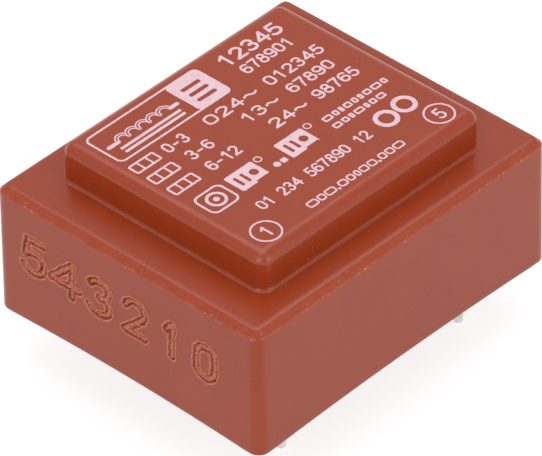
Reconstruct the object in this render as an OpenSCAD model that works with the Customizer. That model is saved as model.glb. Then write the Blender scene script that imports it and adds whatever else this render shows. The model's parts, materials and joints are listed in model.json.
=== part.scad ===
// Encapsulated transformer for a printed circuit board.
// A moulded, stepped case is filled with resin round a former with two chambers,
// a stack of interleaved E and I laminations, and six round pins.
// Millimetres. Z = 0 is the board, the pins go down through it, X is the long side.

/* [Core] */
// Length of the core, along X
core_l = 30; // [29:0.5:36]
// Width of the yoke, which is also the width of the I sheet
yoke_w = 5; // [4.5:0.25:6]
// Length of the windows between the yokes, along Y
window_l = 15; // [13:0.5:18]
// Width of the centre leg
centre_leg = 10; // [8:0.25:11]
// Width of each outer leg
outer_leg = 5; // [4:0.25:5.5]
// Thickness of one sheet
sheet_t = 0.5; // [0.35:0.05:0.6]
// Number of sheets in the stack
sheets = 10; // [6:1:12]

/* [Former] */
// Gap between the former and the core
former_gap = 0.15; // [0.05:0.05:0.3]
// Wall of the tube round the centre leg
tube_wall = 0.6; // [0.4:0.05:0.9]
// Radius of the tube's outer corners
tube_r = 0.3; // [0.1:0.05:0.5]
// Thickness of each flange
flange_t = 0.8; // [0.6:0.05:1.2]
// Height of the flanges, along Z
flange_h = 12.4; // [11.5:0.1:14]
// Radius of the flanges' corners
flange_r = 1.2; // [0.4:0.1:2]
// Length of the primary's chamber, along Y
primary_l = 6.6; // [4:0.1:8]
// Height of the rails that hold the pins
rail_h = 2.6; // [1.8:0.1:2.9]
// How far each rail runs past its outer pins, along X
rail_end = 1.6; // [1:0.1:2]
// How far each rail runs past the row of pins, along Y
rail_side = 1.4; // [0.8:0.1:1.8]
// Depth of the groove along each rail's outer side
rail_groove = 0.5; // [0.2:0.05:0.7]

/* [Windings] */
// How far the flanges stand above the windings
flange_rim = 0.4; // [0.3:0.05:1]
// Thickness of the tape over each chamber
tape_t = 0.1; // [0.05:0.05:0.2]
// Diameter of the wire that leads to a pin
lead_d = 0.25; // [0.15:0.05:0.35]
// Turns of each lead round its pin
wraps = 3; // [2:1:3]
// How far from the middle the outer leads leave their chamber
outer_lead_x = 6; // [5:0.25:6.25]
// Radius of the bends in a lead that climbs to a covered winding
bend_r = 0.25; // [0.2:0.05:0.35]

/* [Pins] */
// Diameter of the pins
pin_d = 0.75; // [0.5:0.05:0.85]
// Diameter of a pin's root, which is swaged so that it can't pull out
root_d = 1.1; // [0.9:0.05:1.3]
// How far the pins stand out below the board's face
pin_out = 4.7; // [3:0.1:5.5]
// Depth of a pin's root inside its rail
root_in = 2.1; // [1.2:0.1:2.5]
// Distance between the two rows, along Y
row_pitch = 20; // [19:0.25:21]
// Distance between the outer pins of a row, along X
pin_span = 20; // [18:0.25:22]
// Distance between the inner pins of the second row
inner_span = 10; // [8:0.25:12]
// Radius of the pins' rounded ends
tip_r = 0.2; // [0.05:0.05:0.25]
// Thickness of solder round the wrapped lead
solder_t = 0.2; // [0.1:0.05:0.3]

/* [Case] */
// Gap between the core and the case
core_gap = 0.15; // [0.05:0.05:0.5]
// Thickness of the side walls
wall = 1; // [0.7:0.05:1.5]
// Thickness of the step and the roof
roof = 1; // [0.7:0.05:1.5]
// Room between the core and the step above it
step_gap = 0.6; // [0.2:0.05:1]
// Room between the flanges and the roof above them
roof_gap = 0.25; // [0.1:0.05:1]
// Room beside the flanges inside the raised top, along X
side_room = 1.25; // [0.5:0.05:2]
// Room past the flanges inside the raised top, along Y
end_room = 2.15; // [0.5:0.05:3]
// Radius of the case's upright corners
corner_r = 1; // [0.8:0.05:2]
// How far each side wall leans in on its way up to the step
wall_lean = 0.07; // [0.02:0.01:0.15]
// Bevel round the edge of the step
step_bevel = 0.55; // [0.2:0.05:0.6]
// Radius of the raised top's upright corners
top_corner_r = 1; // [1:0.05:2]
// Radius round the edge of the raised top
top_edge_r = 0.95; // [0.3:0.05:0.95]
// Radius of the fillet at the foot of the raised top
foot_r = 0.3; // [0.1:0.05:0.6]
// Radius of the corners inside the case
inner_r = 0.4; // [0.2:0.05:0.6]
// How high the middle of each side arches above the board
rim_arch = 0.33; // [0.1:0.01:0.45]
// Length of the flat foot at each end of a side
rim_foot = 1.6; // [1.2:0.1:3]

/* [Resin] */
// How far the resin's face lies above the board
resin_recess = 0.7; // [0.5:0.05:1]
// Resin between its face and the flanges
resin_cover = 0.6; // [0.4:0.05:1]

/* [Hidden] */
$fn = 64;
arch_fn = 720;
eps = 0.01;

core_w = window_l + 2 * yoke_w;
stack_h = sheets * sheet_t;
window_w = (core_l - centre_leg) / 2 - outer_leg;

// Heights, built up from the board
flange_z0 = resin_recess + resin_cover;
flange_z1 = flange_z0 + flange_h;
mid_z = flange_z0 + flange_h / 2;
core_z0 = mid_z - stack_h / 2;
core_z1 = mid_z + stack_h / 2;
rail_z1 = core_z0 - former_gap;
rail_z0 = rail_z1 - rail_h;
step_h = core_z1 + step_gap + roof;
top_h = flange_z1 + roof_gap + roof;

// The former
tube_x = centre_leg + 2 * (former_gap + tube_wall);
tube_z = stack_h + 2 * (former_gap + tube_wall);
former_y = window_l - 2 * former_gap;
flange_x = centre_leg + 2 * (window_w - former_gap);
primary_y0 = -former_y / 2 + flange_t;
primary_y1 = primary_y0 + primary_l;
secondary_y0 = primary_y1 + flange_t;
secondary_y1 = former_y / 2 - flange_t;
chamber_end = former_y / 2 - flange_t;
rail_l = pin_span + 2 * rail_end;
rail_y1 = row_pitch / 2 + rail_side;

// The windings, as deep as the flanges and the windows allow
build = min((flange_h - tube_z) / 2, (flange_x - tube_x) / 2) - flange_rim - tape_t;
layer = build / 2;

// The leads and their joints
root_r = root_d / 2;
wrap_r = root_r + lead_d / 2;
lead_z = rail_z0 - lead_d;
joint_z0 = rail_z0 - wraps * lead_d - solder_t;
joint_r = root_r + lead_d + solder_t;
slot_w = 3 * lead_d;

// The case
case_l = core_l + 2 * (core_gap + wall);
case_w = core_w + 2 * (core_gap + wall);
top_l = flange_x + 2 * (side_room + wall);
top_w = former_y + 2 * (end_room + wall);

// Each pin: its number, its place along X, the row that it stands in,
// and whether its lead comes from a winding that another one covers
PINS = [
    [1, -pin_span / 2, -1, false],
    [5, pin_span / 2, -1, false],
    [6, pin_span / 2, 1, true],
    [7, inner_span / 2, 1, true],
    [9, -inner_span / 2, 1, false],
    [10, -pin_span / 2, 1, false],
];

// ---------- shapes that several pieces share ----------

// A rectangle with round corners, centred
module round_rect(l, w, r) {
    square([l - 2 * r, w], center = true);
    square([l, w - 2 * r], center = true);
    for (sx = [-1, 1], sy = [-1, 1])
        translate([sx * (l / 2 - r), sy * (w / 2 - r)]) circle(r);
}

// A block whose sides all have one profile. The child is half that profile:
// x runs outwards from the axis of a corner, y runs up.
module profiled_block(l, w, r, z0, z1) {
    ax = l / 2 - r;
    ay = w / 2 - r;
    for (sx = [-1, 1], sy = [-1, 1])
        translate([sx * ax, sy * ay, 0]) rotate_extrude() children();
    rotate([90, 0, 0]) linear_extrude(2 * ay, center = true) {
        for (m = [0, 1]) mirror([m, 0]) translate([ax, 0]) children();
        translate([-ax, z0]) square([2 * ax, z1 - z0]);
    }
    rotate([90, 0, 90]) linear_extrude(2 * ax, center = true) {
        for (m = [0, 1]) mirror([m, 0]) translate([ay, 0]) children();
        translate([-ay, z0]) square([2 * ay, z1 - z0]);
    }
}

// A ring wound round the tube between two places along Y
module wound_ring(y0, y1, inside, outside) {
    translate([0, y1, mid_z]) rotate([90, 0, 0]) linear_extrude(y1 - y0) difference() {
        wound_outline(outside);
        wound_outline(inside);
    }
}

// The outline of what is wound on the tube to a given depth
module wound_outline(depth) {
    round_rect(tube_x + 2 * depth, tube_z + 2 * depth, tube_r + depth);
}

// ---------- the case ----------

// Half profile of the lower part: a leaning wall and the bevel of the step
module lower_profile() {
    shoulder = corner_r - wall_lean;
    polygon([
        [0, 0], [corner_r, 0], [shoulder, step_h - step_bevel],
        [shoulder - step_bevel, step_h], [0, step_h],
    ]);
}

// Half profile of the raised top: the fillet at its foot, its wall and its round edge
module top_profile() {
    translate([0, step_h - roof / 2]) square([top_corner_r, top_h - top_edge_r - step_h + roof / 2]);
    translate([0, top_h - top_edge_r - eps]) square([top_corner_r - top_edge_r, top_edge_r + eps]);
    intersection() {
        translate([top_corner_r - top_edge_r, top_h - top_edge_r]) circle(top_edge_r);
        translate([0, top_h - top_edge_r - eps]) square([top_corner_r, top_edge_r + 2 * eps]);
    }
    difference() {
        translate([0, step_h - roof / 2]) square([top_corner_r + foot_r, foot_r + roof / 2]);
        translate([top_corner_r + foot_r, step_h + foot_r]) circle(foot_r);
    }
}

// The space inside the case, from a given height upwards
module cavity(z0) {
    translate([0, 0, z0]) linear_extrude(step_h - roof - z0)
        round_rect(case_l - 2 * wall, case_w - 2 * wall, inner_r);
    translate([0, 0, mid_z]) linear_extrude(top_h - roof - mid_z)
        round_rect(top_l - 2 * wall, top_w - 2 * wall, inner_r);
}

// A shallow arch cut up into both walls that run along X
module arch_cut(span, across) {
    half = span / 2 - rim_foot;
    r = (half * half + rim_arch * rim_arch) / (2 * rim_arch);
    translate([0, 0, rim_arch - r]) rotate([90, 0, 0])
        cylinder(r = r, h = across + 2, center = true, $fn = arch_fn);
}

module case() {
    color([0.60, 0.25, 0.18]) difference() {
        union() {
            profiled_block(case_l, case_w, corner_r, 0, step_h) lower_profile();
            profiled_block(top_l, top_w, top_corner_r, step_h - roof / 2, top_h) top_profile();
        }
        cavity(-1);
        arch_cut(case_l, case_w);
        rotate([0, 0, 90]) arch_cut(case_w, case_l);
    }
}

// ---------- the core ----------

// One E sheet: the yoke and its three legs, with the yoke on the +Y side
module e_sheet() {
    translate([0, yoke_w / 2]) difference() {
        square([core_l, window_l + yoke_w], center = true);
        for (sx = [-1, 1])
            translate([sx * (centre_leg + window_w) / 2, -yoke_w / 2 - eps / 2])
                square([window_w, window_l + eps], center = true);
    }
}

// One I sheet, which closes the legs on the -Y side
module i_sheet() {
    translate([0, -(window_l + yoke_w) / 2]) square([core_l, yoke_w], center = true);
}

// Puts a sheet at its place in the stack; every second one is turned round
module in_stack(k) {
    translate([0, 0, core_z0 + (k - 1) * sheet_t]) rotate([0, 0, 180 * (k % 2)])
        linear_extrude(sheet_t) children();
}

module e_lamination(k) {
    color([0.45, 0.46, 0.48]) in_stack(k) e_sheet();
}

module i_lamination(k) {
    color([0.52, 0.53, 0.55]) in_stack(k) i_sheet();
}

// The whole stack as one block
module core_block() {
    translate([0, 0, core_z0]) linear_extrude(stack_h) difference() {
        square([core_l, core_w], center = true);
        for (sx = [-1, 1])
            translate([sx * (centre_leg + window_w) / 2, 0]) square([window_w, window_l], center = true);
    }
}

// ---------- the former ----------

// One flange, with its near face at y
module flange(y) {
    translate([0, y + flange_t, mid_z]) rotate([90, 0, 0])
        linear_extrude(flange_t) round_rect(flange_x, flange_h, flange_r);
}

// A rail under the yoke on one side, grooved along its outer face
module rail(side) {
    y0 = former_y / 2 - eps;
    difference() {
        translate([-rail_l / 2, side > 0 ? y0 : -rail_y1, rail_z0]) cube([rail_l, rail_y1 - y0, rail_h]);
        translate([0, side * rail_y1, rail_z0 + rail_h / 2])
            cube([rail_l + 2, 2 * rail_groove, rail_h / 3], center = true);
        for (p = PINS) if (p[2] == side)
            translate([p[1], p[2] * row_pitch / 2, rail_z0 - 1]) cylinder(r = root_r, h = root_in + 1);
    }
}

// The corners of the way that a lead takes, and how far it climbs at its start
function covered(p) = p[3];
function lead_start(p) = [
    sign(p[1]) * min(abs(p[1]), outer_lead_x),
    p[2] * (chamber_end + (covered(p) ? bend_r : 0)),
];
function lead_end(p) = [p[1], p[2] * row_pitch / 2];
function lead_rise(p) = covered(p) ? mid_z - tube_z / 2 - layer / 2 - lead_z : 0;

// A slot through the flange for a lead, open at the flange's lower edge
module lead_slot(p) {
    a = lead_start(p);
    run = lead_end(p) - a;
    lean = flange_t * run[0] / abs(run[1]);
    x0 = a[0] + min(0, lean) - slot_w / 2;
    x1 = a[0] + max(0, lean) + slot_w / 2;
    y0 = p[2] > 0 ? chamber_end : -chamber_end - flange_t;
    z1 = covered(p) ? lead_z + lead_rise(p) + slot_w / 2 : rail_z0;
    translate([x0, y0 - eps, flange_z0 - 1]) cube([x1 - x0, flange_t + 2 * eps, z1 - flange_z0 + 1]);
}

module bobbin() {
    color([0.16, 0.16, 0.17]) difference() {
        union() {
            translate([0, former_y / 2, mid_z]) rotate([90, 0, 0])
                linear_extrude(former_y) round_rect(tube_x, tube_z, tube_r);
            flange(-former_y / 2);
            flange(primary_y1);
            flange(secondary_y1);
            for (side = [-1, 1]) rail(side);
        }
        cube_x = centre_leg + 2 * former_gap;
        cube_z = stack_h + 2 * former_gap;
        translate([0, 0, mid_z]) cube([cube_x, former_y + 2, cube_z], center = true);
        for (p = PINS) lead_slot(p);
    }
}

// ---------- the windings ----------

module primary_winding() {
    color([0.72, 0.36, 0.16]) wound_ring(primary_y0, primary_y1, 0, build);
}

module secondary_winding(k) {
    color([0.78, 0.42, 0.18]) wound_ring(secondary_y0, secondary_y1, (k - 1) * layer, k * layer);
}

module primary_tape() {
    color([0.93, 0.78, 0.25]) wound_ring(primary_y0, primary_y1, build, build + tape_t);
}

module secondary_tape() {
    color([0.93, 0.78, 0.25]) wound_ring(secondary_y0, secondary_y1, build, build + tape_t);
}

// ---------- pins, leads and joints ----------

// Puts a child at a pin's place
module at_pin(p) {
    translate([p[1], p[2] * row_pitch / 2, 0]) children();
}

// A round shank with a rounded end, and the thicker root above it
module pin(p) {
    r = pin_d / 2;
    color([0.80, 0.79, 0.76]) at_pin(p) {
        rotate_extrude() {
            translate([0, -pin_out + tip_r]) square([r, pin_out - tip_r + resin_recess + eps]);
            translate([0, -pin_out]) square([r - tip_r, tip_r + eps]);
            intersection() {
                translate([r - tip_r, -pin_out + tip_r]) circle(tip_r);
                translate([0, -pin_out]) square([r, tip_r + eps]);
            }
        }
        translate([0, 0, resin_recess]) cylinder(r = root_r, h = rail_z0 + root_in - resin_recess);
    }
}

// A quarter bend that starts upright at the origin and ends level on the -X side
module elbow() {
    translate([-bend_r, 0, 0]) rotate([90, 0, 0])
        rotate_extrude(angle = 90) translate([bend_r, 0]) circle(d = lead_d, $fn = 24);
}

// A lead without its turns: the run to the pin, and the climb to a covered winding
module lead_run(p) {
    a = lead_start(p);
    run = lead_end(p) - a;
    turn = atan2(run[1], run[0]);
    reach = norm(run) - root_r - lead_d / 4;
    back = 1;
    if (covered(p)) translate([a[0], a[1], lead_z]) {
        rotate([0, 90, turn]) translate([0, 0, bend_r]) cylinder(d = lead_d, h = reach - bend_r, $fn = 24);
        translate([0, 0, bend_r]) cylinder(d = lead_d, h = lead_rise(p) - 2 * bend_r, $fn = 24);
        translate([0, 0, bend_r]) rotate([0, 0, turn + 180]) mirror([0, 0, 1]) elbow();
        translate([0, 0, lead_rise(p) - bend_r]) rotate([0, 0, p[2] * 90]) elbow();
    } else intersection() {
        translate([a[0], a[1], lead_z]) rotate([0, 90, turn])
            translate([0, 0, -back]) cylinder(d = lead_d, h = reach + back, $fn = 24);
        translate([0, p[2] * (chamber_end + core_w / 2), lead_z]) cube([core_l, core_w, 2], center = true);
    }
}

// The turns round the pin's root, as a profile for a revolve
module wrap_profile() {
    for (k = [0:wraps - 1])
        translate([wrap_r, rail_z0 - (k + 0.5) * lead_d]) circle(d = lead_d, $fn = 24);
    translate([root_r, rail_z0 - (wraps - 0.5) * lead_d]) square([lead_d / 2, (wraps - 0.5) * lead_d]);
}

module lead_wire(p) {
    color([0.72, 0.36, 0.16]) {
        lead_run(p);
        at_pin(p) rotate_extrude() wrap_profile();
    }
}

// The outer form of a joint: a collar that tapers on to the pin's root
module joint_form() {
    rotate_extrude() polygon([
        [0, resin_recess + solder_t], [root_r, resin_recess + solder_t], [joint_r, joint_z0],
        [joint_r, rail_z0], [0, rail_z0],
    ]);
}

module solder_joint(p) {
    color([0.70, 0.71, 0.72]) difference() {
        at_pin(p) joint_form();
        at_pin(p) translate([0, 0, resin_recess]) cylinder(r = root_r, h = rail_z0);
        at_pin(p) rotate_extrude() wrap_profile();
        lead_run(p);
    }
}

// ---------- the resin ----------

// Fills the case up to its face, round everything that it holds
module potting_resin() {
    color([0.42, 0.17, 0.12]) difference() {
        cavity(resin_recess);
        core_block();
        bobbin();
        wound_ring(primary_y0, primary_y1, 0, build + tape_t);
        wound_ring(secondary_y0, secondary_y1, 0, build + tape_t);
        for (p = PINS) {
            lead_run(p);
            at_pin(p) joint_form();
            at_pin(p) translate([0, 0, resin_recess - 1])
                cylinder(r = root_r, h = rail_z0 + root_in - resin_recess + 1);
        }
    }
}

case();
potting_resin();
bobbin();
for (k = [1:sheets]) {
    e_lamination(k);
    i_lamination(k);
}
primary_winding();
secondary_winding(1);  // secondary_winding_1
secondary_winding(2);  // secondary_winding_2
primary_tape();
secondary_tape();
for (p = PINS) {
    pin(p);
    lead_wire(p);
    solder_joint(p);
}
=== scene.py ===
"""Dresses the encapsulated transformer: its moulded case, stamp, print, resin, pins and inner pieces."""

import json
import logging
import math
from collections.abc import Iterable, Mapping, Sequence
from dataclasses import dataclass, field
from enum import Enum
from typing import Any

import bpy
import numpy as np
from mathutils import Matrix, Vector, noise


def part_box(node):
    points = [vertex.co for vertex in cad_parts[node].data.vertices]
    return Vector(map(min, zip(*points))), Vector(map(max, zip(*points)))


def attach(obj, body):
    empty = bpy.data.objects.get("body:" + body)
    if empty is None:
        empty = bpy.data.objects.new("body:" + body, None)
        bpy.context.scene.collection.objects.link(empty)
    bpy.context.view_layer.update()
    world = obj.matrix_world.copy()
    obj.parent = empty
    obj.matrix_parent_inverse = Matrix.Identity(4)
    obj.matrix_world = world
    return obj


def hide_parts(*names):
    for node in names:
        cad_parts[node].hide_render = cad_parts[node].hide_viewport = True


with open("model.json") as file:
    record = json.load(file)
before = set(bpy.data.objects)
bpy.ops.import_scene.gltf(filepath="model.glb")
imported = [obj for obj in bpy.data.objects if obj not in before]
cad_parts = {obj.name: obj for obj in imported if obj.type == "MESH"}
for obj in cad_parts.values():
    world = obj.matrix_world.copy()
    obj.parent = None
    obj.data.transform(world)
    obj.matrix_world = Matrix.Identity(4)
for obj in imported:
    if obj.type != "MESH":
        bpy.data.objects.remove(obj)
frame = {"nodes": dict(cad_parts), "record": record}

MM = 0.001
BODY = "root"
LOG = logging.getLogger("transformer")

Colour = tuple[float, float, float]
Place = tuple[float, float, float]
Point = tuple[float, float]


class Slot(Enum):
    """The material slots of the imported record."""

    CASE = "case_plastic"
    RESIN = "potting_resin"
    FORMER = "bobbin_plastic"
    CORE = "core_steel"
    COPPER = "copper_wire"
    TAPE = "winding_tape"
    PIN = "tinned_pin"
    SOLDER = "solder"


# ---- shader maths


@dataclass(frozen=True)
class Signal:
    """A node socket that takes part in arithmetic."""

    graph: "Graph"
    socket: bpy.types.NodeSocket

    def math(self, operation: str, *others: Any, clamp: bool = False) -> "Signal":
        """Adds a Math node that takes this value first, then the other signals or numbers."""
        settings = {"operation": operation, "use_clamp": clamp}
        made = self.graph.node("ShaderNodeMath", settings, dict(enumerate((self, *others))))
        return Signal(self.graph, made.outputs[0])

    def __add__(self, other: Any) -> "Signal":
        """This plus other."""
        return self.math("ADD", other)

    def __sub__(self, other: Any) -> "Signal":
        """This minus other."""
        return self.math("SUBTRACT", other)

    def __rsub__(self, other: float) -> "Signal":
        """Other minus this."""
        return (self * -1.0) + other

    def __mul__(self, other: Any) -> "Signal":
        """This times other."""
        return self.math("MULTIPLY", other)

    def clamped(self) -> "Signal":
        """This, held between 0 and 1."""
        return self.math("ADD", 0.0, clamp=True)

    def smooth(self, low: float, high: float) -> "Signal":
        """Rises smoothly from 0 at low to 1 at high, or falls where low is above high."""
        edges = sorted((low, high))
        values = {"Value": self, "From Min": edges[0], "From Max": edges[1]}
        made = self.graph.node("ShaderNodeMapRange", {"interpolation_type": "SMOOTHSTEP"}, values)
        risen = Signal(self.graph, made.outputs["Result"])
        return risen if low < high else 1.0 - risen


class Graph:
    """One material's node tree, written as expressions on signals."""

    def __init__(self, name: str) -> None:
        """Starts a material of that name with a Principled shader."""
        self.material = bpy.data.materials.new(name)
        self.material.use_nodes = True
        self.tree = self.material.node_tree
        self.tree.nodes.clear()
        self.shader = self.node("ShaderNodeBsdfPrincipled")
        output = self.node("ShaderNodeOutputMaterial")
        self.tree.links.new(self.shader.outputs["BSDF"], output.inputs["Surface"])
        self.places = Signal(self, self.node("ShaderNodeTexCoord").outputs["Object"])

    def node(
        self,
        kind: str,
        settings: Mapping[str, Any] | None = None,
        values: Mapping[Any, Any] | None = None,
    ) -> bpy.types.Node:
        """Adds any node.

        Args:
            kind: The node's type.
            settings: Its settings, which are set first.
            values: A value or a signal for each socket, by name or number.

        Returns:
            The node.
        """
        made = self.tree.nodes.new(kind)
        for key, value in (settings or {}).items():
            setattr(made, key, value)
        for key, value in (values or {}).items():
            self.feed(made.inputs[key], value)
        return made

    def feed(self, socket: bpy.types.NodeSocket, value: Any) -> None:
        """Links a signal to a socket, or sets its value."""
        if isinstance(value, Signal):
            self.tree.links.new(value.socket, socket)
        elif socket.type == "RGBA":
            socket.default_value = (*value, 1.0)
        else:
            socket.default_value = value

    def mix(self, factor: Any, first: Any, second: Any) -> Signal:
        """Mixes two colours or signals. The factor says how much of the second shows."""
        made = self.node("ShaderNodeMix", {"data_type": "RGBA"}, {0: factor, 6: first, 7: second})
        return Signal(self, made.outputs[2])

    def stretched(self, factors: Place) -> Signal:
        """The places on the piece, multiplied by one factor for each axis."""
        made = self.node("ShaderNodeVectorMath", {"operation": "MULTIPLY"}, {0: self.places, 1: factors})
        return Signal(self, made.outputs[0])

    def axis(self, letter: str) -> Signal:
        """The place along one axis, in millimetres."""
        made = self.node("ShaderNodeSeparateXYZ", None, {0: self.places})
        return Signal(self, made.outputs[letter]) * (1.0 / MM)

    def noise(
        self, size_mm: float, detail: float = 3.0, roughness: float = 0.55, places: Any = None
    ) -> Signal:
        """Cloudy noise from 0 to 1.

        Args:
            size_mm: The size of its larger patches.
            detail: How many finer layers it has.
            roughness: How strong those layers are.
            places: Other places than the piece's own.

        Returns:
            The noise.
        """
        values = {
            "Vector": places or self.places,
            "Scale": 1.0 / (size_mm * MM),
            "Detail": detail,
            "Roughness": roughness,
        }
        made = self.node("ShaderNodeTexNoise", None, values)
        return Signal(self, made.outputs[0])

    def cells(self, size_mm: float, places: Any = None) -> Signal:
        """The distance to the nearest of many scattered points, in cell widths."""
        values = {"Vector": places or self.places, "Scale": 1.0 / (size_mm * MM)}
        made = self.node("ShaderNodeTexVoronoi", {"feature": "F1"}, values)
        return Signal(self, made.outputs["Distance"])

    def painted(self, name: str) -> Signal:
        """A value that the mesh carries at its corners."""
        made = self.node("ShaderNodeAttribute", {"attribute_name": name})
        return Signal(self, made.outputs["Fac"])

    def bump(self, height: Signal, strength: float, depth_mm: float) -> None:
        """Lets a height ruffle the surface. A height of 1 is as deep as the last value says."""
        values = {"Height": height, "Strength": strength, "Distance": depth_mm * MM}
        made = self.node("ShaderNodeBump", None, values)
        self.feed(self.shader.inputs["Normal"], Signal(self, made.outputs["Normal"]))

    def set(self, **sockets: Any) -> None:
        """Sets or links sockets of the shader, with underscores for spaces."""
        for name, value in sockets.items():
            self.feed(self.shader.inputs[name.replace("_", " ")], value)


# ---- finishes


class Finish:
    """A finish, which makes a material of its own name."""

    name: str

    def material(self) -> bpy.types.Material:
        """Makes the material."""
        graph = Graph(self.name)
        self.paint(graph)
        return graph.material

    def paint(self, graph: Graph) -> None:
        """Sets the shader up."""
        raise NotImplementedError


@dataclass(frozen=True)
class MouldedPlastic(Finish):
    """Satin plastic with faint flow clouds, edges lightened partly by scuffs and partly as painted
    highlight lines, stray flecks, and a torn stamp with painted shade in its grooves.
    """

    name: str = "moulded_case"
    colour: Colour = (0.234, 0.0275, 0.0045)
    cloud_colour: Colour = (0.219, 0.0250, 0.0040)
    scuff_colour: Colour = (0.31, 0.058, 0.022)
    burr_colour: Colour = (0.52, 0.155, 0.070)
    deep_colour: Colour = (0.110, 0.009, 0.002)
    fleck_colour: Colour = (0.58, 0.28, 0.16)
    roughness: float = 0.25
    specular: float = 0.40

    def paint(self, graph: Graph) -> None:
        """Sets the shader up."""
        clouds = graph.noise(5.0, 4.0, 0.6).smooth(0.30, 0.75)
        flow = graph.noise(1.6, 4.0, 0.6, graph.stretched((1.0, 1.0, 0.18))).smooth(0.35, 0.75)
        grain = graph.noise(0.30, 5.0, 0.65)
        colour = graph.mix(clouds * 0.6 + flow * 0.4, self.colour, self.cloud_colour)
        colour = graph.mix((grain - 0.52).clamped() * 0.45, colour, self.scuff_colour)
        # The edge mask paints edges and creases lighter: partly scuffed wear, partly painted highlight
        # lines, the concave foot of the raised top included.
        edge = graph.painted("edge")
        broken = graph.noise(1.1, 4.0, 0.7).smooth(0.40, 0.62)
        colour = graph.mix(edge * (broken * 0.55 + 0.20), colour, self.scuff_colour)
        nicks = graph.noise(0.22, 2.0, 0.5).smooth(0.62, 0.70) * graph.noise(2.4, 2.0).smooth(0.50, 0.60)
        colour = graph.mix(edge * nicks, colour, self.fleck_colour)
        stamp = graph.painted("stamp")
        speckle = graph.noise(0.13, 3.0, 0.7).smooth(0.30, 0.70)
        colour = graph.mix(stamp.clamped() * (speckle * 0.45 + 0.55), colour, self.burr_colour)
        # Painted shade: where the stamp attribute is negative, the grooves are painted darker.
        colour = graph.mix((stamp * -1.0).clamped(), colour, self.deep_colour)
        flecks = graph.cells(2.2).smooth(0.040, 0.018) * graph.noise(5.0, 1.0).smooth(0.50, 0.58)
        colour = graph.mix(flecks * 0.8, colour, self.fleck_colour)
        graph.set(Base_Color=colour, Roughness=grain * 0.10 + clouds * 0.05 + (self.roughness - 0.07))
        graph.set(Specular_IOR_Level=self.specular)
        graph.bump(grain + graph.noise(1.6, 2.0) * 1.6, 0.35, 0.010)


@dataclass(frozen=True)
class CastResin(Finish):
    """Cast resin with slow ripples and small burst bubbles, whose pits are painted darker as painted
    shade.
    """

    name: str = "cast_resin"
    colour: Colour = (0.250, 0.036, 0.016)
    pale_colour: Colour = (0.330, 0.060, 0.028)
    bubble_colour: Colour = (0.10, 0.014, 0.008)
    roughness: float = 0.26

    def paint(self, graph: Graph) -> None:
        """Sets the shader up."""
        clouds = graph.noise(6.0, 4.0, 0.6).smooth(0.30, 0.75)
        bubbles = graph.cells(3.1).smooth(0.10, 0.04) * graph.noise(4.0, 1.0).smooth(0.50, 0.56)
        colour = graph.mix(clouds, self.colour, self.pale_colour)
        # Painted shade: the bubbles' pits are painted darker.
        graph.set(Base_Color=graph.mix(bubbles * 0.5, colour, self.bubble_colour))
        graph.set(Roughness=clouds * 0.10 + self.roughness, Specular_IOR_Level=0.5)
        graph.bump(graph.noise(5.0, 3.0) - bubbles * 0.4, 0.6, 0.08)


@dataclass(frozen=True)
class PadInk(Finish):
    """Pale ink, a little thin and pitted."""

    name: str = "pad_ink"
    colour: Colour = (0.56, 0.385, 0.43)
    thin_colour: Colour = (0.46, 0.245, 0.25)
    pit_colour: Colour = (0.34, 0.085, 0.06)
    roughness: float = 0.45

    def paint(self, graph: Graph) -> None:
        """Sets the shader up."""
        thin = graph.noise(0.45, 4.0, 0.7).smooth(0.45, 0.80)
        pits = graph.noise(0.14, 2.0, 0.6).smooth(0.70, 0.78)
        colour = graph.mix(thin * 0.7, self.colour, self.thin_colour)
        graph.set(Base_Color=graph.mix(pits, colour, self.pit_colour))
        graph.set(Roughness=thin * 0.15 + self.roughness, Specular_IOR_Level=0.45)
        graph.bump(graph.noise(0.3, 3.0), 0.2, 0.01)


@dataclass(frozen=True)
class SoftMetal(Finish):
    """Tin or solder: satin metal with a drawn or frozen grain."""

    name: str
    colour: Colour
    dull_colour: Colour
    roughness: float
    grain: Place

    def paint(self, graph: Graph) -> None:
        """Sets the shader up."""
        streaks = graph.noise(0.5, 4.0, 0.6, graph.stretched(self.grain))
        dull = graph.noise(1.5, 3.0).smooth(0.40, 0.70)
        graph.set(Base_Color=graph.mix(dull * 0.6, self.colour, self.dull_colour), Metallic=1.0)
        graph.set(Roughness=streaks * 0.16 + dull * 0.10 + (self.roughness - 0.10))
        graph.bump(streaks, 0.25, 0.012)


@dataclass(frozen=True)
class SheetSteel(Finish):
    """Silicon steel sheet with its grey coating, in blotches of a brighter grey."""

    name: str = "sheet_steel"
    colour: Colour = (0.21, 0.22, 0.24)
    edge_colour: Colour = (0.42, 0.41, 0.40)
    roughness: float = 0.38

    def paint(self, graph: Graph) -> None:
        """Sets the shader up."""
        rolled = graph.noise(0.8, 5.0, 0.6, graph.stretched((0.12, 1.0, 1.0)))
        blotches = graph.noise(3.0, 3.0).smooth(0.42, 0.68)
        graph.set(Base_Color=graph.mix(blotches, self.colour, self.edge_colour), Metallic=0.85)
        graph.set(Roughness=rolled * 0.2 + (self.roughness - 0.10))
        graph.bump(rolled, 0.3, 0.01)


@dataclass(frozen=True)
class EnamelledWire(Finish):
    """Turns of enamelled copper wire that lie side by side along Y, with painted shade in the gaps
    between turns.
    """

    name: str = "enamelled_wire"
    colour: Colour = (0.50, 0.135, 0.040)
    groove_colour: Colour = (0.17, 0.035, 0.012)
    wire_mm: float = 0.12
    roughness: float = 0.28

    def paint(self, graph: Graph) -> None:
        """Sets the shader up."""
        turn = (graph.axis("Y") * (math.tau / self.wire_mm)).math("SINE") * 0.5 + 0.5
        uneven = graph.noise(1.2, 3.0)
        # Painted shade: the gaps between turns are painted darker.
        colour = graph.mix((turn * 0.8 + uneven * 0.3).clamped(), self.groove_colour, self.colour)
        graph.set(Base_Color=colour, Metallic=0.75, Roughness=uneven * 0.14 + (self.roughness - 0.07))
        graph.set(Coat_Weight=0.5)
        graph.bump(turn, 0.8, self.wire_mm / 4.0)


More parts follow.
